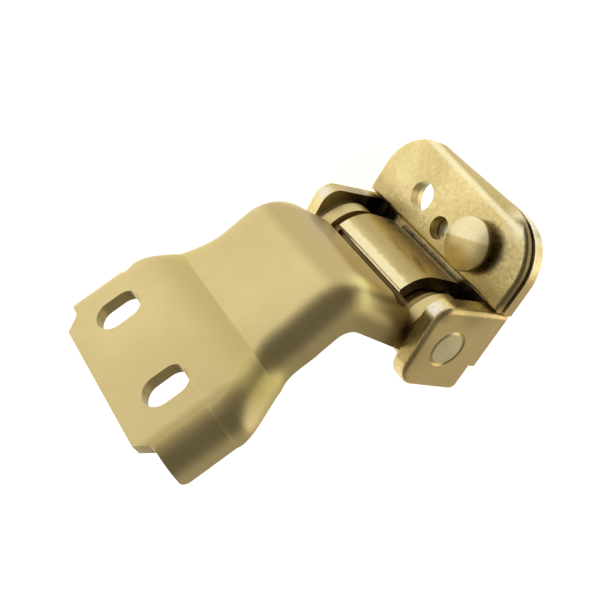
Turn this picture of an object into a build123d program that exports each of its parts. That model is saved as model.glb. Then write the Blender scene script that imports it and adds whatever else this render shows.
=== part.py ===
from build123d import *
import os
from math import cos, radians, sin, tan

# Car door hinge. The pillar bracket lies on the plane y = 0 and looks along +y, and the pin stands along z.
# All lengths are millimetres and all angles are degrees.

# Pin and running gear
PIN_RADIUS = 5.0
PIN_HEIGHT = 15.0            # pin axis above the pillar face
PIN_END_CHAMFER = 0.5
RUNNING_CLEARANCE = 0.05     # radial, pin in bush
BUSH_RADIUS = 6.5
BUSH_COLLAR_RADIUS = 8.6
BUSH_COLLAR_LENGTH = 2.5
BUSH_SPIGOT_LENGTH = 6.0     # the part of the bush inside the sleeve
SLEEVE_RADIUS = 7.2
SLEEVE_WALL = 0.8
WASHER_RADIUS = 9.4
UPPER_WASHER_THICKNESS = 0.5
LOWER_WASHER_THICKNESS = 1.15  # thicker, because the door's weight rests on this end
WASHER_CLEARANCE = 0.3       # radial, washer on pin
END_PLAY = 0.1               # free gap between two faces that turn on each other

# Door arm, in its own frame: pin at the origin, pad towards -x, pad face looking along +y
ARM_REST_ANGLE = 34.0        # pad face against pillar face in the pose shown
ARM_SHEET = 3.75
ARM_BEND_RADIUS = 7.8        # outer radius of the long side bends
PAD_UPPER_REACH = 33.0       # from the middle plane towards +z
PAD_LOWER_REACH = 30.7       # from the middle plane towards -z
PAD_LEVEL = 33.75
PAD_DEPTH = 8.6              # outer height of the pad's side walls
PAD_END_X = -74.0
PAD_END_HALF_WIDTH = 20.5
PAD_CLIP_X = 3.4             # clipped corner along x
PAD_CLIP_Z = 2.8             # clipped corner along z
FLANGE_END_X = -70.0
FLANGE_CORNER_RADIUS = 2.2
SLOT_X = -60.5
SLOT_MIDDLE_Z = -1.3         # halfway between the two slots
SLOT_SPACING = 28.6
SLOT_LENGTH = 12.6
SLOT_WIDTH = 8.5
SLOPE_START_X = -51.5        # the web starts to fall here
SLOPE_BEND_SHARE = 0.5       # share of the fall that is bend, the rest is a straight slope
SLOPE_SECTIONS = 8           # steps of the loft along the slope
SHOULDER_SECTIONS = 3        # steps of the loft between slope and neck
UPPER_NARROW_START_X = -53.0  # the two sides draw in over different lengths
UPPER_NARROW_END_X = -35.0
LOWER_NARROW_START_X = -51.0
LOWER_NARROW_END_X = -28.0
CREASE_X = -39.75
CREASE_LEVEL = 30.25
NECK_HALF_WIDTH = 22.9
NECK_DEPTH = 9.6
NECK_RISE_ANGLE = 6.5
DROP_ANGLE = 66.0
DROP_BEND_RADIUS = 12.5
DROP_BEND_LOWER_RADIUS = 5.0
WEB_END = (-3.25, 15.0)
DROP_EDGE_OFFSET = 7.5       # lower edge of the falling wall, from the pin axis
ARM_EAR_RADIUS = 10.0

# Pillar bracket
BRACKET_SHEET = 3.3
HEM_GAP = 0.3                # between the two layers of the folded plate
PLATE_FOLD_X = 35.7
PLATE_CORNER_RADIUS = 14.5
FRONT_EDGE_X = 12.9          # free edge of the front layer
FRONT_END_SETBACK = 0.1      # front layer's ends behind the back layer's ends
FRONT_EDGE_ROUND = 1.0       # front layer's edges on the side that shows
FRONT_UNDER_ROUND = 1.6      # front layer's ends on the side towards the back layer
FRONT_CORNER_TURN = 75.0     # how far the front layer's rounded edge follows the corner before the fold
FRONT_RUN_ON = 0.67          # how far that edge then runs on into the fold, as a share of half its length
WEB_EDGE_X = -4.0            # free edge of the back layer below the pin
EAR_THICKNESS = 5.0          # the ears are upset, so thicker than the sheet
EAR_BEND_INNER_RADIUS = 2.0
EAR_BEND_OUTER_RADIUS = 0.8  # nearly square
EAR_BACK_X = 12.6            # ear edge towards the plate
EAR_SLANT = 1.4              # how far that edge leans away from the plate at its top
EAR_FRONT_X = -12.6          # ear edge towards the arm
EAR_TOP = 25.6
EAR_TOP_SLANT = 1.2          # fall of the top edge towards the arm
EAR_FOOT = 1.6               # lower edge of the part of the ear beyond the bend
EAR_NOSE_RADIUS = 5.0
EAR_SHOULDER_RADIUS = 6.0
EAR_HEEL_RADIUS = 2.4
EAR_EDGE_ROUND = 1.6         # outer edges of the ears
PIN_HOLE_CHAMFER = 0.5
HOLE_RADIUS = 4.1
BACK_HOLE_RADIUS = 6.0       # the bolt hole is wider in the back layer
HOLE_X = 21.7
HOLE_SPACING = 24.0          # bolt hole to check stud
LOCATING_HOLE_RADIUS = 3.2
LOCATING_HOLE_X = 18.5
LOCATING_HOLE_Z = -0.95

# Pin guard: a strip with its foot on the bracket, a wall, and a roll over the pin
GUARD_RADIUS = 11.0          # outer, about the pin axis
GUARD_SHEET = 3.3
GUARD_BEND_RADIUS = 0.6      # inner, between foot and wall
GUARD_TURN = 62.0            # how far the roll goes round the pin
GUARD_EDGE_ROUND = 0.8       # outer corner of its free end
GUARD_FOOT_X = -3.0
GUARD_UPPER_Z = 13.5
GUARD_LOWER_Z = -16.0

# Check stud
STUD_SHANK_RADIUS = 4.1
STUD_NECK_RADIUS = 5.2
STUD_NECK_LENGTH = 2.2
STUD_HEAD_RADIUS = 7.2
STUD_RIM = 1.3
STUD_DOME = 1.2

SAME_PLACE = 0.001           # two points nearer than this are taken to be one

# Places that follow from the sizes above
upper_inner = NECK_HALF_WIDTH + 2 * UPPER_WASHER_THICKNESS + END_PLAY
lower_inner = NECK_HALF_WIDTH + 2 * LOWER_WASHER_THICKNESS + END_PLAY
bracket_inner = (upper_inner + lower_inner) / 2
bracket_half = bracket_inner + EAR_THICKNESS
bracket_place = Pos(0, 0, (upper_inner - lower_inner) / 2)
arm_inner = NECK_HALF_WIDTH - ARM_SHEET
plate_thickness = 2 * BRACKET_SHEET + HEM_GAP
front_back = BRACKET_SHEET + HEM_GAP
arm_place = Pos(0, PIN_HEIGHT, 0) * Rot(0, 0, -ARM_REST_ANGLE)
through = 4 * bracket_half


def along_pin(shape, centre_z):
    """A shape drawn about the pin axis, moved along it and set at the pin's height."""
    return Pos(0, PIN_HEIGHT, centre_z) * shape


def ring(outer, inner, length):
    """A flat ring or tube, centred, along z."""
    return Cylinder(outer, length) - Cylinder(inner, 2 * length)


def stacked(parts):
    """Cylinders on top of one another along z, each given as (radius, base, length)."""
    upright = (Align.CENTER, Align.CENTER, Align.MIN)
    cylinders = [Pos(0, 0, base) * Cylinder(radius, length, align=upright) for radius, base, length in parts]
    return Part() + cylinders


# Door arm

def smooth(share):
    """Smooth step from 0 to 1 that is level at both ends."""
    share = min(max(share, 0.0), 1.0)
    return share * share * (3 - 2 * share)


def web_level(x):
    """Height of the web's top: level pad, a bend into a straight slope, then the rising neck."""
    if x >= CREASE_X:
        return CREASE_LEVEL + (x - CREASE_X) * tan(radians(NECK_RISE_ANGLE))
    share = max((x - SLOPE_START_X) / (CREASE_X - SLOPE_START_X), 0.0)
    bend = SLOPE_BEND_SHARE
    fall = share**2 / (bend * (2 - bend)) if share < bend else (2 * share - bend) / (2 - bend)
    return PAD_LEVEL - (PAD_LEVEL - CREASE_LEVEL) * fall


def upper_reach(x):
    share = smooth((x - UPPER_NARROW_START_X) / (UPPER_NARROW_END_X - UPPER_NARROW_START_X))
    return PAD_UPPER_REACH + (NECK_HALF_WIDTH - PAD_UPPER_REACH) * share


def lower_reach(x):
    share = smooth((x - LOWER_NARROW_START_X) / (LOWER_NARROW_END_X - LOWER_NARROW_START_X))
    return PAD_LOWER_REACH + (NECK_HALF_WIDTH - PAD_LOWER_REACH) * share


def depth_at(x):
    share = smooth((x - LOWER_NARROW_START_X) / (LOWER_NARROW_END_X - LOWER_NARROW_START_X))
    return PAD_DEPTH + (NECK_DEPTH - PAD_DEPTH) * share


def channel_section(x, tilt, inside):
    """Section of the pressing at x: a block with rounded top corners, or the hollow inside it."""
    wall = ARM_SHEET if inside else 0.0
    height = depth_at(x) + (ARM_SHEET if inside else 0.0)
    upper, lower = upper_reach(x) - wall, lower_reach(x) - wall
    block = Pos((lower - upper) / 2, 0) * Rectangle(upper + lower, height, align=(Align.CENTER, Align.MAX))
    block = fillet(block.vertices().group_by(Axis.Y)[-1], ARM_BEND_RADIUS - wall)
    slant = radians(tilt)
    plane = Plane(origin=(x, web_level(x), 0), x_dir=(0, 0, -1), z_dir=(cos(slant), sin(slant), 0))
    return plane * Pos(0, -wall) * block


def channel(stations):
    """The pressing lofted through sections at a list of (x, tilt)."""
    outer = loft([channel_section(x, tilt, False) for x, tilt in stations])
    inner = loft([channel_section(x, tilt, True) for x, tilt in stations])
    return outer - inner


def fold_edges(solid, fold, half_width):
    """Edges of an extruded profile that follow the fold line on its two side faces."""
    def on_fold(edge):
        middle = edge @ 0.5
        at_side = abs(abs(middle.Z) - half_width) < SAME_PLACE
        return at_side and fold.distance_to(Vector(middle.X, middle.Y, 0)) < SAME_PLACE
    return [edge for edge in solid.edges() if on_fold(edge)]


def make_pad():
    """The flat pad with its side walls, clipped end and two slots."""
    start = SLOPE_START_X - ARM_SHEET
    length = start - PAD_END_X
    outer = extrude(channel_section(start, 0, False), -length)
    inner = extrude(channel_section(start, 0, True), -length)
    pad = outer - inner
    half_width = (PAD_UPPER_REACH + PAD_LOWER_REACH) / 2
    beyond = 2 * half_width
    middle = Pos(0, 0, PAD_UPPER_REACH - half_width)
    for side in (1, -1):
        corner = Polyline(
            (PAD_END_X - beyond, side * PAD_END_HALF_WIDTH),
            (PAD_END_X, side * PAD_END_HALF_WIDTH),
            (PAD_END_X + PAD_CLIP_X, side * (PAD_END_HALF_WIDTH + PAD_CLIP_Z)),
            (FLANGE_END_X, side * (half_width - ARM_BEND_RADIUS)),
            (FLANGE_END_X, side * beyond),
            (PAD_END_X - beyond, side * beyond),
            close=True,
        )
        plan = Plane(origin=(0, 0, 0), x_dir=(1, 0, 0), z_dir=(0, -1, 0))
        pad -= middle * extrude(plan * make_face(corner), 2 * PAD_LEVEL, both=True)
    ends = pad.edges().filter_by(Axis.Z).group_by(Axis.Y)[0].group_by(Axis.X)[0]
    pad = fillet(ends, FLANGE_CORNER_RADIUS)
    face_up = Plane(origin=(SLOT_X, PAD_LEVEL, SLOT_MIDDLE_Z), x_dir=(1, 0, 0), z_dir=(0, 1, 0))
    slot = SlotOverall(SLOT_LENGTH, SLOT_WIDTH)
    for side in (1, -1):
        pad -= extrude(face_up * Pos(0, side * SLOT_SPACING / 2) * slot, 2 * ARM_SHEET, both=True)
    return pad


def make_neck():
    """The neck, the large bend down to the pin, and the side walls that end in round ears."""
    rise = radians(NECK_RISE_ANGLE)
    drop = radians(DROP_ANGLE)
    start = Vector(LOWER_NARROW_END_X, web_level(LOWER_NARROW_END_X))
    along = Vector(cos(rise), sin(rise))
    down = Vector(cos(drop), -sin(drop))
    up_from_neck = Vector(-sin(rise), cos(rise))
    out_of_drop = Vector(sin(drop), cos(drop))
    end = Vector(*WEB_END)

    def meet(neck_point, drop_point):
        """Where the neck's line through one point meets the falling line through another."""
        gap = drop_point - neck_point
        reach = (gap.X * down.Y - gap.Y * down.X) / (along.X * down.Y - along.Y * down.X)
        return neck_point + along * reach

    long_end = end + down * 2 * ARM_BEND_RADIUS
    low_start = start - up_from_neck * NECK_DEPTH
    low_end = down * long_end.dot(down) - out_of_drop * DROP_EDGE_OFFSET
    fold = FilletPolyline(start, meet(start, end), long_end, radius=DROP_BEND_RADIUS)
    low_edge = FilletPolyline(low_start, meet(low_start, low_end), low_end, radius=DROP_BEND_LOWER_RADIUS)
    side = make_face(fold + Line(long_end, low_end) + low_edge + Line(low_start, start))
    outer = extrude(side, NECK_HALF_WIDTH, both=True)
    outer = fillet(fold_edges(outer, fold, NECK_HALF_WIDTH), ARM_BEND_RADIUS)
    past_web = end + out_of_drop * 2 * ARM_EAR_RADIUS
    ahead = Polyline(end, past_web, (2 * ARM_EAR_RADIUS, 0), (0, 0), close=True)
    outer -= extrude(make_face(ahead), through, both=True)
    outer += Cylinder(ARM_EAR_RADIUS, 2 * NECK_HALF_WIDTH)

    in_start = start - up_from_neck * ARM_SHEET
    in_end = end - out_of_drop * ARM_SHEET
    in_fold = FilletPolyline(in_start, meet(in_start, in_end), in_end, radius=DROP_BEND_RADIUS - ARM_SHEET)
    floor = -2 * ARM_EAR_RADIUS
    around = Polyline(in_end, past_web, (-floor, floor), (in_start.X, floor), in_start)
    hollow = extrude(make_face(in_fold + around), arm_inner, both=True)
    hollow = fillet(fold_edges(hollow, in_fold, arm_inner), ARM_BEND_RADIUS - ARM_SHEET)
    return outer - hollow


def make_arm():
    fall = CREASE_X - SLOPE_START_X
    slope_xs = [SLOPE_START_X + fall * step / SLOPE_SECTIONS for step in range(SLOPE_SECTIONS + 1)]
    slope = channel([(x, 0) for x in [SLOPE_START_X - ARM_SHEET] + slope_xs])
    rest = LOWER_NARROW_END_X - CREASE_X
    shares = [step / SHOULDER_SECTIONS for step in range(SHOULDER_SECTIONS + 1)]
    shoulder = channel([(CREASE_X + rest * share, NECK_RISE_ANGLE * share) for share in shares])
    arm = make_pad() + slope + shoulder + make_neck()
    return arm - Cylinder(BUSH_RADIUS, through)


# Pillar bracket

def make_front_blank():
    """Plan shape of the front layer as a plate with rounded edges. It runs on past the fold."""
    half = bracket_half - FRONT_END_SETBACK
    turn = radians(FRONT_CORNER_TURN)
    reach = FRONT_RUN_ON * half / sin(turn)
    corner_x = PLATE_FOLD_X - PLATE_CORNER_RADIUS * (1 - tan(turn / 2))
    past_fold = (corner_x + reach * cos(turn), half - reach * sin(turn))
    upper = [(FRONT_EDGE_X, half), (corner_x, half), past_fold]
    lower = [(x, -z) for x, z in reversed(upper)]
    outline = make_face(Polyline(*upper, *lower, close=True))
    for x, z in (upper[1], lower[1]):
        outline = fillet(outline.vertices().sort_by_distance((x, z))[0], PLATE_CORNER_RADIUS)
    plan = Plane(origin=(0, plate_thickness, 0), x_dir=(1, 0, 0), z_dir=(0, -1, 0))
    blank = extrude(plan * outline, BRACKET_SHEET)
    ends = blank.edges().group_by(Axis.Y)[0].sort_by(Axis.X)[1:-1]
    blank = fillet(ends, FRONT_UNDER_ROUND)
    shown = blank.edges().group_by(Axis.Y)[-1].sort_by(Axis.X)[:-1]
    return fillet(shown, FRONT_EDGE_ROUND)


def make_plate():
    """The sheet folded double along its outer edge, with rounded corners at the fold."""
    fold_radius = plate_thickness / 2
    fold_x = PLATE_FOLD_X - fold_radius
    back = Pos(fold_x, 0) * Rectangle(
        fold_x - WEB_EDGE_X, BRACKET_SHEET, align=(Align.MAX, Align.MIN))
    front = Pos(fold_x, front_back) * Rectangle(
        fold_x - FRONT_EDGE_X, BRACKET_SHEET, align=(Align.MAX, Align.MIN))
    bend = Circle(fold_radius) - Circle(HEM_GAP / 2)
    bend &= Rectangle(fold_radius, plate_thickness, align=(Align.MIN, Align.CENTER))
    section = back + front + Pos(fold_x, fold_radius) * bend
    outline = Pos(WEB_EDGE_X, 0) * Rectangle(
        PLATE_FOLD_X - WEB_EDGE_X, 2 * bracket_half, align=(Align.MIN, Align.CENTER))
    outline = fillet(outline.vertices().group_by(Axis.X)[-1], PLATE_CORNER_RADIUS)
    plan = Plane(origin=(0, 0, 0), x_dir=(1, 0, 0), z_dir=(0, -1, 0))
    plate = extrude(section, bracket_half, both=True)
    plate &= extrude(plan * outline, 2 * plate_thickness, both=True)
    back_half = Box(through, front_back, through, align=(Align.CENTER, Align.MIN, Align.CENTER))
    return (plate & back_half) + (plate & make_front_blank())


def make_ears():
    """The two ears with their bends, one on each end of the back layer below the pin."""
    high = 2 * EAR_TOP
    strap = Rectangle(2 * bracket_half, high, align=(Align.CENTER, Align.MIN))
    strap = fillet(strap.vertices().group_by(Axis.Y)[0], EAR_BEND_OUTER_RADIUS)
    hollow = Pos(0, BRACKET_SHEET) * Rectangle(2 * bracket_inner, high, align=(Align.CENTER, Align.MIN))
    hollow = fillet(hollow.vertices().group_by(Axis.Y)[0], EAR_BEND_INNER_RADIUS)
    across = Plane(origin=(EAR_FRONT_X, 0, 0), x_dir=(0, 0, -1), z_dir=(1, 0, 0))
    bent = extrude(across * (strap - hollow), EAR_BACK_X - EAR_FRONT_X)
    points = [
        (WEB_EDGE_X, 0),
        (EAR_BACK_X, 0),
        (EAR_BACK_X, BRACKET_SHEET),
        (EAR_BACK_X - EAR_SLANT, EAR_TOP),
        (EAR_FRONT_X, EAR_TOP - EAR_TOP_SLANT),
        (EAR_FRONT_X, EAR_FOOT),
        (WEB_EDGE_X, EAR_FOOT),
    ]
    outline = make_face(Polyline(*points, close=True))
    outline = fillet(outline.vertices().sort_by_distance(points[3])[0], EAR_NOSE_RADIUS)
    outline = fillet(outline.vertices().sort_by_distance(points[4])[0], EAR_SHOULDER_RADIUS)
    outline = fillet(outline.vertices().sort_by_distance(points[5])[0], EAR_HEEL_RADIUS)
    web_only = Pos((EAR_FRONT_X + WEB_EDGE_X) / 2, 0, 0) * Box(
        WEB_EDGE_X - EAR_FRONT_X, 4 * BRACKET_SHEET, 2 * bracket_inner)
    blank = extrude(outline, bracket_half, both=True)
    rounded = blank.edges().filter_by(lambda edge: (edge @ 0.5).Y > BRACKET_SHEET and (edge % 0.5).Z == 0)
    blank = fillet(rounded, EAR_EDGE_ROUND)
    return (bent & blank) - web_only


def make_bracket():
    plate = make_plate()
    foot = Pos(EAR_FRONT_X, 0, 0) * Box(
        EAR_BACK_X - EAR_FRONT_X, 2 * BRACKET_SHEET, through, align=(Align.MIN, Align.CENTER, Align.CENTER))
    bracket = (plate - foot) + make_ears()
    bracket -= along_pin(Cylinder(PIN_RADIUS, through), 0)
    mouth = Cone(PIN_RADIUS, PIN_RADIUS + PIN_HOLE_CHAMFER, PIN_HOLE_CHAMFER)
    mouth = Pos(0, 0, bracket_half - PIN_HOLE_CHAMFER / 2) * mouth
    bracket -= along_pin(mouth, 0)
    bracket -= along_pin(Rot(180, 0, 0) * mouth, 0)
    bracket = bracket_place * bracket
    hole = Rot(90, 0, 0) * Cylinder(HOLE_RADIUS, through)
    stud_hole = Rot(90, 0, 0) * Cylinder(STUD_SHANK_RADIUS, through)
    between_layers = BRACKET_SHEET + HEM_GAP / 2
    back_hole = Rot(90, 0, 0) * Cylinder(
        BACK_HOLE_RADIUS, plate_thickness, align=(Align.CENTER, Align.CENTER, Align.MIN))
    bracket -= Pos(HOLE_X, 0, -HOLE_SPACING / 2) * hole
    bracket -= Pos(HOLE_X, between_layers, -HOLE_SPACING / 2) * back_hole
    bracket -= Pos(HOLE_X, 0, HOLE_SPACING / 2) * stud_hole
    locating = Rot(-90, 0, 0) * Cylinder(
        LOCATING_HOLE_RADIUS, plate_thickness, align=(Align.CENTER, Align.CENTER, Align.MIN))
    return bracket - Pos(LOCATING_HOLE_X, between_layers, LOCATING_HOLE_Z) * locating


def make_guard():
    """A strip welded by its foot to the bracket below the pin. Its wall rises and rolls over the pin."""
    inner = GUARD_RADIUS - GUARD_SHEET
    top = BRACKET_SHEET + GUARD_SHEET
    outer_bend = GUARD_BEND_RADIUS + GUARD_SHEET
    bend = (inner - GUARD_BEND_RADIUS, top + GUARD_BEND_RADIUS)
    pin = (0, PIN_HEIGHT)
    outer_roll = CenterArc(pin, GUARD_RADIUS, 0, GUARD_TURN)
    inner_roll = CenterArc(pin, inner, 0, GUARD_TURN)
    outline = outer_roll + inner_roll + Line(outer_roll @ 1, inner_roll @ 1)
    outline += CenterArc(bend, outer_bend, 270, 90) + Line((GUARD_RADIUS, bend[1]), outer_roll @ 0)
    outline += CenterArc(bend, GUARD_BEND_RADIUS, 270, 90) + Line((inner, bend[1]), inner_roll @ 0)
    outline += Polyline(
        (bend[0], BRACKET_SHEET), (GUARD_FOOT_X, BRACKET_SHEET), (GUARD_FOOT_X, top), (bend[0], top))
    profile = make_face(outline)
    profile = fillet(profile.vertices().sort_by_distance(outer_roll @ 1)[0], GUARD_EDGE_ROUND)
    return Pos(0, 0, GUARD_LOWER_Z) * extrude(profile, GUARD_UPPER_Z - GUARD_LOWER_Z)


# Pin and running gear

def make_pin():
    pin = Cylinder(PIN_RADIUS, 2 * bracket_half)
    return bracket_place * along_pin(chamfer(pin.edges().filter_by(GeomType.CIRCLE), PIN_END_CHAMFER), 0)


def make_bush():
    """A shouldered bush: ear part, collar inside the ear, spigot in the sleeve. Its ear end is at z = 0."""
    parts = (
        (BUSH_RADIUS, 0, ARM_SHEET),
        (BUSH_COLLAR_RADIUS, ARM_SHEET, BUSH_COLLAR_LENGTH),
        (SLEEVE_RADIUS - SLEEVE_WALL, ARM_SHEET + BUSH_COLLAR_LENGTH, BUSH_SPIGOT_LENGTH),
    )
    return stacked(parts) - Cylinder(PIN_RADIUS + RUNNING_CLEARANCE, through)


def make_sleeve():
    length = 2 * (arm_inner - BUSH_COLLAR_LENGTH)
    return ring(SLEEVE_RADIUS, SLEEVE_RADIUS - SLEEVE_WALL, length)


def make_washer(thickness):
    return ring(WASHER_RADIUS, PIN_RADIUS + WASHER_CLEARANCE, thickness)


def make_stud():
    """A riveted stud: shank through both layers, neck, and a mushroom head with a low dome."""
    neck_top = plate_thickness + STUD_NECK_LENGTH
    rim_top = neck_top + STUD_RIM
    parts = (
        (STUD_SHANK_RADIUS, 0, plate_thickness),
        (STUD_NECK_RADIUS, plate_thickness, STUD_NECK_LENGTH),
        (STUD_HEAD_RADIUS, neck_top, STUD_RIM + STUD_DOME),
    )
    dome_radius = (STUD_HEAD_RADIUS**2 + STUD_DOME**2) / (2 * STUD_DOME)
    ball = Pos(0, 0, rim_top + STUD_DOME - dome_radius) * Sphere(dome_radius)
    below_dome = stacked([(STUD_HEAD_RADIUS, 0, rim_top)])
    stud = stacked(parts) & (ball + below_dome)
    return Pos(HOLE_X, 0, HOLE_SPACING / 2) * Rot(-90, 0, 0) * stud


bush = make_bush()
upper_washer = make_washer(UPPER_WASHER_THICKNESS)
lower_washer = make_washer(LOWER_WASHER_THICKNESS)

nodes = {
    "door_arm": arm_place * make_arm(),
    "body_bracket": make_bracket(),
    "hinge_pin": make_pin(),
    "upper_bush": arm_place * Pos(0, 0, NECK_HALF_WIDTH) * Rot(180, 0, 0) * bush,
    "lower_bush": arm_place * Pos(0, 0, -NECK_HALF_WIDTH) * bush,
    "spacer_sleeve": arm_place * make_sleeve(),
    "upper_arm_washer": along_pin(upper_washer, NECK_HALF_WIDTH + UPPER_WASHER_THICKNESS / 2),
    "lower_arm_washer": along_pin(lower_washer, -NECK_HALF_WIDTH - LOWER_WASHER_THICKNESS / 2),
    "upper_bracket_washer": along_pin(upper_washer, upper_inner - UPPER_WASHER_THICKNESS / 2),
    "lower_bracket_washer": along_pin(lower_washer, LOWER_WASHER_THICKNESS / 2 - lower_inner),
    "check_stud": make_stud(),
    "pin_guard": make_guard(),
}

os.makedirs("parts", exist_ok=True)
for name, solid in nodes.items():
    export_step(solid, f"parts/{name}.step")
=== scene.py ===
import bpy
import numpy as np
from mathutils import Matrix, Vector


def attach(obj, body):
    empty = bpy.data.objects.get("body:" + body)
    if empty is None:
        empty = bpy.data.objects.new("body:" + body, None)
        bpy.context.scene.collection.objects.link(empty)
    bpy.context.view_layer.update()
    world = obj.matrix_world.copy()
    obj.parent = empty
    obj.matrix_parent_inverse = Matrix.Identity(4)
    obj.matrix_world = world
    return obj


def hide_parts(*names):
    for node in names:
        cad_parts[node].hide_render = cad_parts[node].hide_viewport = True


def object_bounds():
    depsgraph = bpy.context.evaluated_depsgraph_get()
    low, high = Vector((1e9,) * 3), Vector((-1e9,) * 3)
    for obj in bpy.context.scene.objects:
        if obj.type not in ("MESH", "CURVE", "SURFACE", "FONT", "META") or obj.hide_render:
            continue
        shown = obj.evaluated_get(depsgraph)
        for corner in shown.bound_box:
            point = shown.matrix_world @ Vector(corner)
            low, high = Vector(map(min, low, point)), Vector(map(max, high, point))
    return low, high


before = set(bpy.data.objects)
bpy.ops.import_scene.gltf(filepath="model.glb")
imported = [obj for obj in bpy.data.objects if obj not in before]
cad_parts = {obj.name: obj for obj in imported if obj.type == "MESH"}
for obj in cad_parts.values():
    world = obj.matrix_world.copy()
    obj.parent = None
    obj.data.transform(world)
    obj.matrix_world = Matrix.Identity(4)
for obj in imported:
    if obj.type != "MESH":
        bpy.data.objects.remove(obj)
cad_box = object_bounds()


# Door arm
# One channel pressed from thick strip: a slotted pad, a cranked neck and two round ears that carry the bushes.
# Steel with satin yellow zinc plating, greener where the press drew the metal round bends. Painted shade darkens
# the slope and the drop, the pad's near edge is darker, painted glints lie on the concave bends at the foot of
# the drop, and painted shade lies in the joints by the ears.

arm_light = (0.700, 0.573, 0.278, 1.0)
arm_dark = (0.625, 0.507, 0.236, 1.0)
arm_drawn = (0.620, 0.540, 0.190, 1.0)
arm_painted_glint = (0.900, 0.810, 0.340, 1.0)
arm_painted_slope_shade = (0.530, 0.415, 0.172, 1.0)
arm_deep_tone = (0.460, 0.355, 0.150, 1.0)
slot_brown = (0.300, 0.230, 0.090, 1.0)
painted_shade_brown = (0.150, 0.108, 0.042, 1.0)
# Direction along the arm from the pad to the pin, and the places of slope and drop on it, which get painted
# shade
arm_along = (0.8290, -0.5592, 0.0)
slope_band = (-0.0490, -0.0483)
drop_band = (-0.0225, -0.0120)
# Direction along the pin, and the place of the pad's near edge on it
along_pin = (0.0, 0.0, 1.0)
pad_edge_band = (0.0242, 0.0262)
# Middles of the slots in the pad's thickness, and where their walls lie along the pad's normal
slot_middles = ((-0.0333, 0.0761, 0.0130), (-0.0333, 0.0761, -0.0156))
pad_normal = (0.5592, 0.8290, 0.0)
slot_wall_band = (0.0400, 0.0460)
# Middles of the places where the side walls were drawn inwards by the pad, of the painted glints on the bends by
# the ears, and of the painted shade in the joints
drawn_places = ((-0.0197, 0.0606, 0.0245), (-0.0150, 0.0575, -0.0240))
painted_glint_places = ((0.0072, 0.0420, 0.0188), (0.0072, 0.0420, -0.0200))
shaded_joint_places = ((-0.0005, 0.0248, 0.0224), (-0.0005, 0.0248, -0.0237))


def object_noise(tree, per_m, detail=2.0, roughness=0.5):
    """A noise over the piece's own coordinates, with its scale per metre."""
    noise = tree.nodes.new("ShaderNodeTexNoise")
    noise.inputs["Scale"].default_value = per_m
    noise.inputs["Detail"].default_value = detail
    noise.inputs["Roughness"].default_value = roughness
    tree.links.new(tree.nodes["place"].outputs["Object"], noise.inputs["Vector"])
    return noise.outputs["Fac"]


def arithmetic(tree, operation, *terms, clamp=False):
    """One step of arithmetic on terms that are numbers or sockets, kept between 0 and 1 if clamped."""
    step = tree.nodes.new("ShaderNodeMath")
    step.operation = operation
    step.use_clamp = clamp
    for term, socket in zip(terms, step.inputs):
        if isinstance(term, float):
            socket.default_value = term
        else:
            tree.links.new(term, socket)
    return step.outputs["Value"]


def fade(tree, value, span, levels, interpolation="SMOOTHSTEP"):
    """Goes from the first level to the second as a value crosses a span, and stays level beyond its ends."""
    change = tree.nodes.new("ShaderNodeMapRange")
    change.interpolation_type = interpolation
    change.inputs["From Min"].default_value, change.inputs["From Max"].default_value = span
    change.inputs["To Min"].default_value, change.inputs["To Max"].default_value = levels
    tree.links.new(value, change.inputs["Value"])
    return change.outputs["Result"]


def measure_along(tree, place, direction):
    """How far a place lies along a direction: their dot product."""
    dot = tree.nodes.new("ShaderNodeVectorMath")
    dot.operation = "DOT_PRODUCT"
    dot.inputs[1].default_value = direction
    tree.links.new(place, dot.inputs[0])
    return dot.outputs["Value"]


def grained_metal(name, light, dark, roughness, grain_per_m, cloud_per_m, bump_depth_m, grain_share=0.5):
    """Metal with two noises on it. Its tone goes from light to dark by the slow clouds, plus a share of how far
    the fine grain lies from its mean. The grain also gives the roughness, between two values, and a shallow
    bump."""
    cloud_span = (0.35, 0.65)
    grain_span = (0.3, 0.7)
    grain_mean = 0.5
    material = bpy.data.materials.new(name)
    material.use_nodes = True
    tree = material.node_tree
    shader = tree.nodes["Principled BSDF"]
    shader.inputs["Metallic"].default_value = 1.0
    tree.nodes.new("ShaderNodeTexCoord").name = "place"
    cloud = object_noise(tree, cloud_per_m, detail=3.0)
    grain = object_noise(tree, grain_per_m, roughness=0.6)

    clouded = fade(tree, cloud, cloud_span, (0.0, 1.0), "LINEAR")
    off_mean = arithmetic(tree, "SUBTRACT", grain, grain_mean)
    tone = tree.nodes.new("ShaderNodeMix")
    tone.data_type = "RGBA"
    tone.inputs["A"].default_value = light
    tone.inputs["B"].default_value = dark
    tone_share = arithmetic(tree, "MULTIPLY_ADD", off_mean, grain_share, clouded, clamp=True)
    tree.links.new(tone_share, tone.inputs["Factor"])
    tree.links.new(tone.outputs["Result"], shader.inputs["Base Color"])

    tree.links.new(fade(tree, grain, grain_span, roughness, "LINEAR"), shader.inputs["Roughness"])

    bump = tree.nodes.new("ShaderNodeBump")
    bump.inputs["Strength"].default_value = 1.0
    bump.inputs["Distance"].default_value = bump_depth_m
    tree.links.new(grain, bump.inputs["Height"])
    tree.links.new(bump.outputs["Normal"], shader.inputs["Normal"])
    return material


def blend_colour(material, factor, colour):
    """Lays a colour over a material's colour: one minus the factor of the old, plus the factor of the new."""
    tree = material.node_tree
    base = tree.nodes["Principled BSDF"].inputs["Base Color"]
    mix = tree.nodes.new("ShaderNodeMix")
    mix.data_type = "RGBA"
    mix.inputs["B"].default_value = colour
    tree.links.new(factor, mix.inputs["Factor"])
    tree.links.new(base.links[0].from_socket, mix.inputs["A"])
    tree.links.new(mix.outputs["Result"], base)


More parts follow.
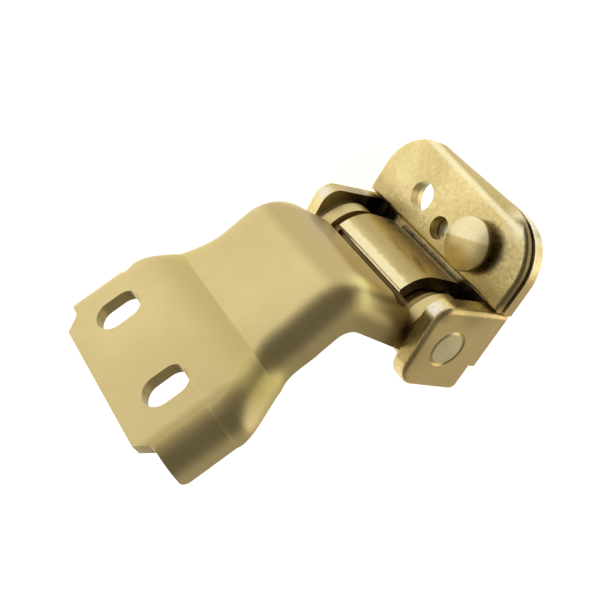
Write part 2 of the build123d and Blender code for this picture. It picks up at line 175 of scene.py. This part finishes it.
def spot_factor(tree, centre, strength, reach, core):
    """A factor round a point: the strength as far as the core, and nothing from the reach on."""
    away = tree.nodes.new("ShaderNodeVectorMath")
    away.operation = "DISTANCE"
    away.inputs[1].default_value = centre
    tree.links.new(tree.nodes["place"].outputs["Object"], away.inputs[0])
    return fade(tree, away.outputs["Value"], (core, reach), (strength, 0.0))


def band_factor(tree, direction, band, strength, fades, ragged=0.0):
    """A factor across a direction: the strength between the band's two places along it, with a fade before and
    one after. A noise moves the band's edges by up to the ragged length."""
    ragged_per_m = 700.0
    measure = measure_along(tree, tree.nodes["place"].outputs["Object"], direction)
    if ragged:
        measure = arithmetic(tree, "MULTIPLY_ADD", object_noise(tree, ragged_per_m), ragged, measure)
    rise = fade(tree, measure, (band[0] - fades[0], band[0]), (0.0, strength))
    fall = fade(tree, measure, (band[1], band[1] + fades[1]), (1.0, 0.0))
    return arithmetic(tree, "MULTIPLY", rise, fall)


def tint_spot(material, centre, colour, strength, reach, core=0.0):
    """Blends a colour into a material round a point."""
    blend_colour(material, spot_factor(material.node_tree, centre, strength, reach, core), colour)


def tint_band(material, direction, band, colour, strength, fades, ragged=0.0):
    """Blends a colour into a material across a direction."""
    blend_colour(material, band_factor(material.node_tree, direction, band, strength, fades, ragged), colour)


def tint_patch(material, centre, direction, band, colour, strength, reach, core, fades):
    """Blends a colour into a material round a point, as far as it lies inside a band across a direction: by the
    product of the two factors."""
    tree = material.node_tree
    round_point = spot_factor(tree, centre, strength, reach, core)
    inside_band = band_factor(tree, direction, band, 1.0, fades)
    blend_colour(material, arithmetic(tree, "MULTIPLY", round_point, inside_band), colour)


arm_plating = grained_metal(
    "satin_yellow_zinc", light=arm_light, dark=arm_dark, roughness=(0.34, 0.44),
    grain_per_m=2600.0, cloud_per_m=38.0, bump_depth_m=0.000012)
# Painted shade on the slope, which faces away from the light
tint_band(arm_plating, arm_along, slope_band, arm_painted_slope_shade, strength=0.9, fades=(0.0100, 0.0005))
# Painted shade on the drop, which faces away from the light
tint_band(arm_plating, arm_along, drop_band, arm_deep_tone, strength=0.75, fades=(0.0040, 0.0040))
tint_band(arm_plating, along_pin, pad_edge_band, arm_deep_tone, strength=0.8, fades=(0.0026, 0.0026))
for slot_middle in slot_middles:
    tint_patch(
        arm_plating, slot_middle, pad_normal, slot_wall_band, slot_brown,
        strength=0.8, reach=0.0075, core=0.0069, fades=(0.0001, 0.0001))
for drawn_place in drawn_places:
    tint_spot(arm_plating, drawn_place, arm_drawn, strength=0.8, reach=0.012)
# Painted glints on the concave bends at the foot of the drop
for painted_glint_place in painted_glint_places:
    tint_spot(arm_plating, painted_glint_place, arm_painted_glint, strength=0.9, reach=0.007)
# Painted shade in the dark gaps where the arm meets the ears
for shaded_joint_place in shaded_joint_places:
    tint_spot(arm_plating, shaded_joint_place, painted_shade_brown, strength=0.85, reach=0.0040)
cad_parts["door_arm"].material_slots[0].material = arm_plating


# Pillar bracket
# One sheet folded double along its outer edge, with two thick ears bent up to hold the pin.
# Steel with bright yellow zinc plating on a coarse rolled skin, shinier and more speckled than the arm. Painted
# shade browns the fold's round, the near corner and the ears' edges, and the plate is browner towards its near
# end.
# Painted highlights lie on the fold's ridge, the web and the ears' noses, and painted shade in the gaps round
# the pin.

bracket_light = (0.885, 0.750, 0.375, 1.0)
bracket_dark = (0.690, 0.550, 0.243, 1.0)
bracket_brown = (0.480, 0.375, 0.160, 1.0)
bracket_warm = (0.800, 0.570, 0.230, 1.0)
bracket_painted_light = (0.950, 0.870, 0.600, 1.0)
bracket_painted_glint = (0.860, 0.840, 0.760, 1.0)
painted_corner_shade = (0.220, 0.165, 0.065, 1.0)
painted_deep_shade = (0.035, 0.022, 0.012, 1.0)
# Across the fold, which runs a little askew: its round, which gets painted shade, and the ridge beside it, which
# gets a painted highlight
across_fold = (0.998, 0.0, 0.056)
fold_band = (0.0346, 0.0380)
ridge_band = (0.0332, 0.0338)
# Across the plate: the shade inside its free edge, and the gap between that edge and the pin
across_plate = (1.0, 0.0, 0.0)
edge_shade_band = (0.0138, 0.0162)
gap_band = (0.0, 0.0126)
# Out of the plate: the web's face, which gets painted light, and the front layer's cut wall, which gets painted
# shade at the near corner
out_of_plate = (0.0, 1.0, 0.0)
web_band = (0.0029, 0.0034)
front_wall_band = (0.0034, 0.0063)
# Along the pin: the near ear's outer face
near_face_band = (0.0288, 0.0300)
# Middles of tinted places, as (x, y, z)
near_plate_end = (0.0220, 0.0140, 0.0235)
near_fold_end = (0.0345, 0.0045, 0.0200)
near_corner = (0.0262, 0.0052, 0.0270)
bolt_hole = (0.0217, 0.00525, -0.0120)
ear_backs = ((0.0120, 0.0130, 0.0270), (0.0116, 0.0185, -0.0286))
ear_front = (-0.0030, 0.0249, 0.0265)
ear_noses = ((0.0090, 0.0247, 0.0258), (0.0089, 0.0248, -0.0274))
near_nose_shade = (0.0088, 0.0232, 0.0290)
shaded_far_ear = (0.0090, 0.0125, -0.0248)
deep_gaps = ((0.0095, 0.0062, 0.0155), (0.0100, 0.0062, 0.0200), (0.0108, 0.0060, -0.0225))

bracket_plating = grained_metal(
    "bright_yellow_zinc", light=bracket_light, dark=bracket_dark, roughness=(0.24, 0.42),
    grain_per_m=1100.0, cloud_per_m=60.0, bump_depth_m=0.00005, grain_share=1.0)
# Painted shade on the fold's round, and a painted highlight on the ridge beside it
tint_band(bracket_plating, across_fold, fold_band, bracket_brown, strength=0.85, fades=(0.0010, 0.0010))
tint_band(bracket_plating, across_fold, ridge_band, bracket_painted_light, strength=0.6, fades=(0.0008, 0.0008))
tint_band(bracket_plating, across_plate, edge_shade_band, bracket_brown, strength=0.6, fades=(0.0030, 0.0030))
# Painted light on the web's face, deep between the ears
tint_band(bracket_plating, out_of_plate, web_band, bracket_painted_light, strength=0.9, fades=(0.0002, 0.0002))
tint_band(bracket_plating, along_pin, near_face_band, bracket_warm, strength=0.7, fades=(0.0006, 0.0006))
tint_spot(bracket_plating, near_plate_end, bracket_brown, strength=0.7, reach=0.0145, core=0.0075)
# A painted highlight on the near end of the fold, where the back layer's rim is lit
tint_spot(bracket_plating, near_fold_end, bracket_painted_light, strength=0.8, reach=0.008)
# Painted shade on the bolt hole's wall
tint_spot(bracket_plating, bolt_hole, bracket_brown, strength=0.9, reach=0.00455, core=0.0042)
# Painted shade on the front layer's cut wall at the near corner
tint_patch(
    bracket_plating, near_corner, out_of_plate, front_wall_band, painted_corner_shade,
    strength=0.95, reach=0.0135, core=0.0105, fades=(0.0001, 0.0006))
# Painted shade on the ears' back edges and the near ear's front flank
for ear_back in ear_backs:
    tint_spot(bracket_plating, ear_back, bracket_brown, strength=0.85, reach=0.009)
tint_spot(bracket_plating, ear_front, bracket_brown, strength=0.6, reach=0.009)
# Painted highlights on the ears' rounded noses
for ear_nose in ear_noses:
    tint_spot(bracket_plating, ear_nose, bracket_painted_glint, strength=0.8, reach=0.0036)
tint_spot(bracket_plating, near_nose_shade, bracket_brown, strength=0.8, reach=0.0030)
# Painted shade inside the far ear
tint_spot(bracket_plating, shaded_far_ear, painted_shade_brown, strength=0.9, reach=0.009)
# Painted shade in the deep gaps round the pin
for deep_gap in deep_gaps:
    tint_patch(
        bracket_plating, deep_gap, across_plate, gap_band, painted_deep_shade,
        strength=0.95, reach=0.0058, core=0.0042, fades=(0.0001, 0.0002))
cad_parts["body_bracket"].material_slots[0].material = bracket_plating


# Check stud
# A mushroom-headed rivet that the door's check link hooks on. Turned steel, set through both layers of the
# plate. It is plated with the bracket but smoother. Painted shade browns the half that faces the pin and the
# strip along its outer edge, and darkens the neck and rim below the dome.

stud_axis = (0.0217, 0.0120)
shank_radius = 0.0041
neck_radius = 0.0052
head_radius = 0.0072
# Heights above the pillar's face
plate_front = 0.0069
neck_top = 0.0091
dome_top = 0.0116
dome_rise = 0.0012
edge_round = 0.00035
edge_points = 7
dome_points = 24
stud_segments = 128
stud_sharp_angle = np.radians(35.0)
stud_light = (0.880, 0.780, 0.500, 1.0)
stud_dark = (0.760, 0.630, 0.330, 1.0)
stud_painted_shade = (0.760, 0.610, 0.275, 1.0)
stud_painted_edge_shade = (0.580, 0.450, 0.195, 1.0)
# Towards the stud's half with painted shade: that half, and the strip of painted shade along its outer edge
stud_half = (-0.929, 0.0, 0.370)
stud_shaded_half_band = (-0.0164, 0.0)
stud_edge_shade_band = (-0.0164, -0.0150)
# Out of the plate: neck and rim, below the dome, which get painted shade
stud_rim_band = (0.0060, 0.0102)


def arc_points(middle_radius, middle_height, arc_radius, turns):
    """Points of an arc in a profile, as (radius, height): the arc's middle plus its own radius times cosine and
    sine of each turn."""
    radii = middle_radius + arc_radius * np.cos(turns)
    heights = middle_height + arc_radius * np.sin(turns)
    return np.stack((radii, heights), axis=-1)


def turned_mesh(name, profile, axis, segments, sharp_angle):
    """A profile of (radius, height) points carried round an axis along y, which is given as (x, z). A ring's
    point is the axis plus the radius times cosine and sine of its angle. The profile's two ends lie on the axis,
    where fans close the shape. Edges that turn by more than the sharp angle stay sharp."""
    angles = np.linspace(0.0, 2.0 * np.pi, segments, endpoint=False)
    rings = profile[1:-1]
    x = axis[0] + rings[:, :1] * np.cos(angles)
    y = np.broadcast_to(rings[:, 1:], x.shape)
    z = axis[1] + rings[:, :1] * np.sin(angles)
    points = np.stack((x, y, z), axis=-1).reshape(-1, 3)
    ends = np.stack((np.full(2, axis[0]), profile[[0, -1], 1], np.full(2, axis[1])), axis=-1)
    number = np.arange(len(points)).reshape(x.shape)
    following = np.roll(number, -1, axis=1)
    quads = np.stack((number[:-1], number[1:], following[1:], following[:-1]), axis=-1).reshape(-1, 4)
    foot = np.full(segments, len(points))
    foot_fan = np.stack((number[0], following[0], foot), axis=-1)
    top_fan = np.stack((number[-1], foot + 1, following[-1]), axis=-1)
    mesh = bpy.data.meshes.new(name)
    faces = quads.tolist() + foot_fan.tolist() + top_fan.tolist()
    mesh.from_pydata(np.concatenate((points, ends)).tolist(), [], faces)
    mesh.shade_smooth()
    mesh.set_sharp_from_angle(angle=sharp_angle)
    return mesh


stud_plating = grained_metal(
    "stud_yellow_zinc", light=stud_light, dark=stud_dark, roughness=(0.26, 0.36),
    grain_per_m=1900.0, cloud_per_m=70.0, bump_depth_m=0.0)
# Painted shade on the head's half towards the pin, along its edge there, and on neck and rim
tint_band(stud_plating, stud_half, stud_shaded_half_band, stud_painted_shade, strength=0.85, fades=(0.0008, 0.0008))
tint_band(stud_plating, stud_half, stud_edge_shade_band, stud_painted_edge_shade, strength=0.8, fades=(0.0008, 0.0035))
tint_band(stud_plating, out_of_plate, stud_rim_band, painted_shade_brown, strength=0.75, fades=(0.0001, 0.0002))
# The dome is a cap of a ball, and the rim's two edges are rounded inside the head's outline
ball_radius = (head_radius**2 + dome_rise**2) / (2.0 * dome_rise)
ball_middle = dome_top - ball_radius
round_radius = head_radius - edge_round
round_height = ball_middle + np.sqrt((ball_radius - edge_round)**2 - round_radius**2)
round_end = np.arctan2(round_height - ball_middle, round_radius)
under_turns = np.linspace(-np.pi / 2.0, 0.0, edge_points)
upper_turns = np.linspace(0.0, round_end, edge_points)
dome_turns = np.linspace(round_end, np.pi / 2.0, dome_points)[1:]
shank_and_neck = [
    (0.0, 0.0), (shank_radius, 0.0), (shank_radius, plate_front), (neck_radius, plate_front),
    (neck_radius, neck_top)]
stud_profile = np.concatenate((
    shank_and_neck,
    arc_points(round_radius, neck_top + edge_round, edge_round, under_turns),
    arc_points(round_radius, round_height, edge_round, upper_turns),
    arc_points(0.0, ball_middle, ball_radius, dome_turns)))
stud_profile[-1] = (0.0, dome_top)
stud_mesh = turned_mesh("turned_stud", stud_profile, stud_axis, stud_segments, stud_sharp_angle)
stud_mesh.materials.append(stud_plating)
turned_stud = bpy.data.objects.new("turned_stud", stud_mesh)
bpy.context.scene.collection.objects.link(turned_stud)
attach(turned_stud, "bracket")
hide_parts("check_stud")


# Pin guard
# A thick strip welded to the bracket by its foot, bent up beside the plate and rolled over the pin.
# Plated steel. The sheared end of the roll is torn, with a painted highlight along its edge, and painted shade
# browns its wall.

guard_light = (0.650, 0.530, 0.235, 1.0)
guard_dark = (0.510, 0.395, 0.160, 1.0)
guard_painted_glint = (0.900, 0.800, 0.500, 1.0)
guard_painted_shade = (0.380, 0.295, 0.115, 1.0)
# Towards the roll's end: its edge, which gets a painted highlight. Across the plate: the guard's wall, which
# gets painted shade
guard_edge_along = (-0.883, 0.469, 0.0)
guard_edge_band = (0.0052, 0.0090)
guard_wall_band = (0.0098, 0.0120)
guard_plating = grained_metal(
    "guard_yellow_zinc", light=guard_light, dark=guard_dark, roughness=(0.26, 0.40),
    grain_per_m=1200.0, cloud_per_m=80.0, bump_depth_m=0.00003)
tint_band(
    guard_plating, guard_edge_along, guard_edge_band, guard_painted_glint,
    strength=0.8, fades=(0.0012, 0.0012), ragged=0.0014)
tint_band(guard_plating, across_plate, guard_wall_band, guard_painted_shade, strength=0.8, fades=(0.0025, 0.0025))
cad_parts["pin_guard"].material_slots[0].material = guard_plating


# Hinge pin
# A plain turned pin, pressed through both of the bracket's ears and flush with them, so only its ends show.
# Plated steel, paler than the bracket.

pin_plating = grained_metal(
    "pin_yellow_zinc", light=(0.900, 0.790, 0.450, 1.0), dark=(0.740, 0.610, 0.310, 1.0),
    roughness=(0.28, 0.42), grain_per_m=1500.0, cloud_per_m=90.0, bump_depth_m=0.00003)
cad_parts["hinge_pin"].material_slots[0].material = pin_plating


# Spacer sleeve
# A short drawn tube on the bushes' spigots, inside the guard. It keeps the arm's ears apart.
# Plated steel, coloured dark all over as painted shade for the shade inside the guard.

sleeve_plating = grained_metal(
    "painted_shade_tube", light=(0.200, 0.150, 0.055, 1.0), dark=(0.120, 0.088, 0.030, 1.0),
    roughness=(0.28, 0.42), grain_per_m=1300.0, cloud_per_m=80.0, bump_depth_m=0.00003)
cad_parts["spacer_sleeve"].material_slots[0].material = sleeve_plating


# Bushes
# Two shouldered bushes pressed into the arm's ears, in which the pin turns.
# Sintered bronze, dark with the oil that it holds.

bush_bronze = grained_metal(
    "oiled_bronze", light=(0.300, 0.215, 0.085, 1.0), dark=(0.180, 0.125, 0.050, 1.0),
    roughness=(0.35, 0.50), grain_per_m=2200.0, cloud_per_m=120.0, bump_depth_m=0.00002)
for bush in ("upper_bush", "lower_bush"):
    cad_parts[bush].material_slots[0].material = bush_bronze


# Washers
# Two punched thrust washers at each end of the pin, between the arm's ear and the bracket's ear.
# Plain steel, lightly oiled.

washer_steel = grained_metal(
    "washer_steel", light=(0.520, 0.430, 0.250, 1.0), dark=(0.340, 0.270, 0.140, 1.0),
    roughness=(0.30, 0.45), grain_per_m=1800.0, cloud_per_m=120.0, bump_depth_m=0.00002)
for washer in ("upper_arm_washer", "lower_arm_washer", "upper_bracket_washer", "lower_bracket_washer"):
    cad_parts[washer].material_slots[0].material = washer_steel


# Floor
# A plain pale table, lit from inside as a light table is, so that the hinge stands on white with a faint
# shadow. The light fades towards the camera, which darkens what the arm's near bends mirror.

floor_half = 3.0
floor_gap = 0.0002
floor_level = cad_box[0][2] - floor_gap
floor_grey = (0.80, 0.80, 0.79, 1.0)
floor_roughness = 0.9
floor_glow = (1.0, 1.0, 0.995, 1.0)
# Where the light fades, towards the camera, and its strength before and after
camera_side = (0.450, 0.893, 0.0)
lit_reach = (0.130, 0.190)
lit_strength = (0.88, 0.15)
corners = np.array([(-1, -1), (1, -1), (1, 1), (-1, 1)], float) * floor_half
floor_mesh = bpy.data.meshes.new("floor")
floor_mesh.from_pydata([(x, y, floor_level) for x, y in corners], [], [(0, 1, 2, 3)])
floor = bpy.data.objects.new("floor", floor_mesh)
bpy.context.scene.collection.objects.link(floor)
floor_material = bpy.data.materials.new("pale_table")
floor_material.use_nodes = True
floor_tree = floor_material.node_tree
floor_shader = floor_tree.nodes["Principled BSDF"]
floor_shader.inputs["Base Color"].default_value = floor_grey
floor_shader.inputs["Roughness"].default_value = floor_roughness
floor_shader.inputs["Emission Color"].default_value = floor_glow
floor_place = floor_tree.nodes.new("ShaderNodeTexCoord").outputs["Object"]
to_camera = measure_along(floor_tree, floor_place, camera_side)
floor_light = fade(floor_tree, to_camera, lit_reach, lit_strength)
floor_tree.links.new(floor_light, floor_shader.inputs["Emission Strength"])
floor_mesh.materials.append(floor_material)


# Light
# A soft room that is dim round the camera and overhead, and brighter behind the hinge, where its ends look.
# A soft lamp low behind the bracket lights the plate's rim.

room_colour = (1.0, 0.965, 0.90, 1.0)
# For wall and lamp: the direction to the middle, the cosines between which they fade in, and the strength
# before and after that fade
back_wall_side = (-0.373, -0.679, 0.632)
back_wall_cosines = (0.45, 0.95)
back_wall_strength = (0.16, 0.46)
low_lamp_side = (0.451, -0.752, 0.481)
low_lamp_cosines = (0.80, 0.95)
low_lamp_strength = (0.0, 0.9)
world = bpy.data.worlds.new("studio")
world.use_nodes = True
room_tree = world.node_tree
room = room_tree.nodes["Background"]
room.inputs["Color"].default_value = room_colour
look = room_tree.nodes.new("ShaderNodeTexCoord").outputs["Generated"]
to_wall = measure_along(room_tree, look, back_wall_side)
to_lamp = measure_along(room_tree, look, low_lamp_side)
back_wall = fade(room_tree, to_wall, back_wall_cosines, back_wall_strength)
low_lamp = fade(room_tree, to_lamp, low_lamp_cosines, low_lamp_strength)
room_tree.links.new(arithmetic(room_tree, "ADD", back_wall, low_lamp), room.inputs["Strength"])
bpy.context.scene.world = world


# Camera
# At the photograph's place and turn, with a lens that gives its field of view on a square image.

camera_place = (0.0862, 0.2151, 0.1636)
sensor_mm = 36.0
lens_mm = 60.8
nearest_m = 0.01
camera_right = Vector((0.488, -0.723, 0.489)).normalized()
camera_back = Vector((0.373, 0.679, 0.632)).normalized()
camera_up = camera_back.cross(camera_right).normalized()
camera_right = camera_up.cross(camera_back)
camera_data = bpy.data.cameras.new("camera")
camera_data.sensor_width = sensor_mm
camera_data.lens = lens_mm
camera_data.clip_start = nearest_m
camera = bpy.data.objects.new("camera", camera_data)
turn = Matrix((camera_right, camera_up, camera_back)).transposed().to_4x4()
camera.matrix_world = Matrix.Translation(camera_place) @ turn
bpy.context.scene.collection.objects.link(camera)
bpy.context.scene.camera = camera
bpy.context.scene.view_settings.view_transform = "Standard"
